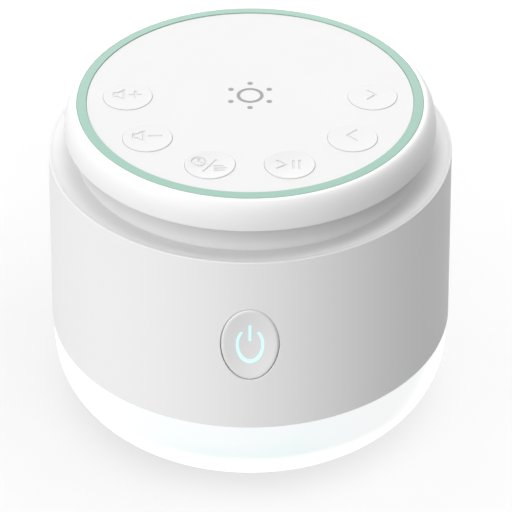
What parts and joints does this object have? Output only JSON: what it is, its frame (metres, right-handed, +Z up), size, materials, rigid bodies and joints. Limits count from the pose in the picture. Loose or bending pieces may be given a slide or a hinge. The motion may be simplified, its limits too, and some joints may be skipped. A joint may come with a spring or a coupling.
{
  "type": "white noise sound machine",
  "caption": "Round tabletop sound machine with a keypad cap over a recessed neck, an oval power button in a tapered sleeve and a glowing bowl-shaped base.",
  "frame": {"origin": "centre of the foot ring, on the surface the machine stands on", "axes": "+Z up along the body's axis, -Y to the front with the power button, +Y to the rear with the USB-C inlet, +X to the right seen from the front"},
  "size_m": [0.102, 0.102, 0.0878],
  "materials": {
    "panel_white": "fine satin",
    "key_white": "satin",
    "cap_white": "satin",
    "accent_mint": "matt",
    "body_white": "fine matt",
    "button_white": "satin",
    "icon_glow": "frosted, lit",
    "diffuser_glow": "frosted, lit",
    "foot_rubber": "matt",
    "inner_white": "matt",
    "grille_white": "matt",
    "switch_black": "matt",
    "board_green": "solder mask",
    "connector_ivory": "matt",
    "capacitor_sleeve": "satin",
    "pad_copper": "bright",
    "foam_grey": "conductive foam",
    "socket_steel": "satin",
    "screw_steel": "plated",
    "basket_steel": "satin black",
    "magnet_grey": "ferrite",
    "cone_black": "pressed pulp",
    "surround_rubber": "soft",
    "spider_cloth": "resin-dipped cloth",
    "lamp_yellow": "phosphor",
    "reflector_white": "reflective"
  },
  "bodies": {
    "housing": {"foot_ring": "foot_rubber", "diffuser_dome": "diffuser_glow", "inner_chassis": "inner_white", "body_sleeve": "body_white", "shoulder_housing": "body_white", "sound_grille": "grille_white", "cap_shell": "cap_white", "accent_ring": "accent_mint", "top_panel": "panel_white", "board_carrier": "inner_white", "control_board": "board_green", "key_switches": "socket_steel", "touch_pad": "pad_copper", "touch_pillar": "foam_grey", "power_switch": "socket_steel", "switch_board": "board_green", "power_lamps": "lamp_yellow", "switch_board_screws": "screw_steel", "speaker_basket": "basket_steel", "speaker_magnet": "magnet_grey", "speaker_yoke": "screw_steel", "speaker_surround": "surround_rubber", "speaker_spider": "spider_cloth", "main_board": "board_green", "usb_socket_shell": "socket_steel", "usb_socket_tongue": "switch_black", "main_board_chips": "switch_black", "board_capacitors": "capacitor_sleeve", "wire_connectors": "connector_ivory", "light_board": "reflector_white", "light_lamps": "lamp_yellow", "light_reflector": "reflector_white", "chassis_screws": "screw_steel", "cap_screws": "screw_steel", "speaker_screws": "screw_steel", "control_board_screws": "screw_steel", "main_board_screws": "screw_steel", "light_board_screws": "screw_steel", "reflector_screw": "screw_steel"},
    "volume_up": {"volume_up_key": "key_white", "volume_up_plunger": "switch_black"},
    "volume_down": {"volume_down_key": "key_white", "volume_down_plunger": "switch_black"},
    "timer": {"timer_key": "key_white", "timer_plunger": "switch_black"},
    "play": {"play_key": "key_white", "play_plunger": "switch_black"},
    "previous": {"previous_key": "key_white", "previous_plunger": "switch_black"},
    "next": {"next_key": "key_white", "next_plunger": "switch_black"},
    "power": {"power_button": "button_white", "power_icon_lens": "icon_glow", "power_plunger": "switch_black"},
    "cone": {"speaker_cone": "cone_black", "dust_cap": "cone_black", "voice_coil": "pad_copper"}
  },
  "joints": [
    {"name": "volume_up_press", "type": "slide", "parent": "housing", "child": "volume_up", "axis": [0, 0, -1], "range_m": [0, 0.0005], "stiffness_N_per_m": 400},
    {"name": "volume_down_press", "type": "slide", "parent": "housing", "child": "volume_down", "axis": [0, 0, -1], "range_m": [0, 0.0005], "stiffness_N_per_m": 400},
    {"name": "timer_press", "type": "slide", "parent": "housing", "child": "timer", "axis": [0, 0, -1], "range_m": [0, 0.0005], "stiffness_N_per_m": 400},
    {"name": "play_press", "type": "slide", "parent": "housing", "child": "play", "axis": [0, 0, -1], "range_m": [0, 0.0005], "stiffness_N_per_m": 400},
    {"name": "previous_press", "type": "slide", "parent": "housing", "child": "previous", "axis": [0, 0, -1], "range_m": [0, 0.0005], "stiffness_N_per_m": 400},
    {"name": "next_press", "type": "slide", "parent": "housing", "child": "next", "axis": [0, 0, -1], "range_m": [0, 0.0005], "stiffness_N_per_m": 400},
    {"name": "power_press", "type": "slide", "parent": "housing", "child": "power", "axis": [0, 1, 0], "range_m": [0, 0.0006], "stiffness_N_per_m": 400},
    {"name": "cone_stroke", "type": "slide", "parent": "housing", "child": "cone", "axis": [0, 0, 1], "range_m": [-0.0008, 0.0008], "stiffness_N_per_m": 800, "deforming": ["speaker_surround", "speaker_spider"]}
  ]
}
